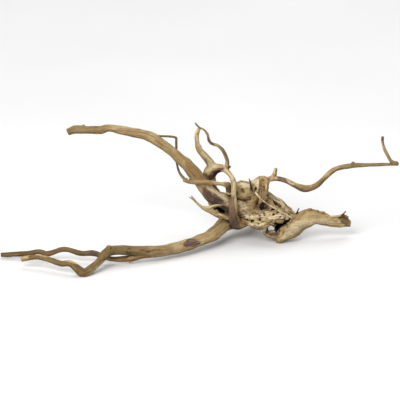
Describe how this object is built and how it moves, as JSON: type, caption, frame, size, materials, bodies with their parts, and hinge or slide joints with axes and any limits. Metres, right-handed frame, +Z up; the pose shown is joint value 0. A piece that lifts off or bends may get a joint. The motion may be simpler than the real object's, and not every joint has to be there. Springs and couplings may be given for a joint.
{
  "type": "red moor wood root",
  "caption": "Branching red moor wood root with a gnarled crown, two long limbs to one side, thin forked twigs and a heavy sawn snag, lying on three low points.",
  "frame": {"origin": "centre of the root's level outline, on the floor that it lies on", "axes": "+X along its length, towards the thin right limb; +Y away from the side shown in the picture; +Z up"},
  "size_m": [0.4478, 0.1779, 0.1429],
  "materials": {
    "bare_wood": "washed bare wood, tan with darker grain and brown stains, dull"
  },
  "bodies": {
    "root": {"moor_root": "bare_wood"}
  },
  "joints": []
}
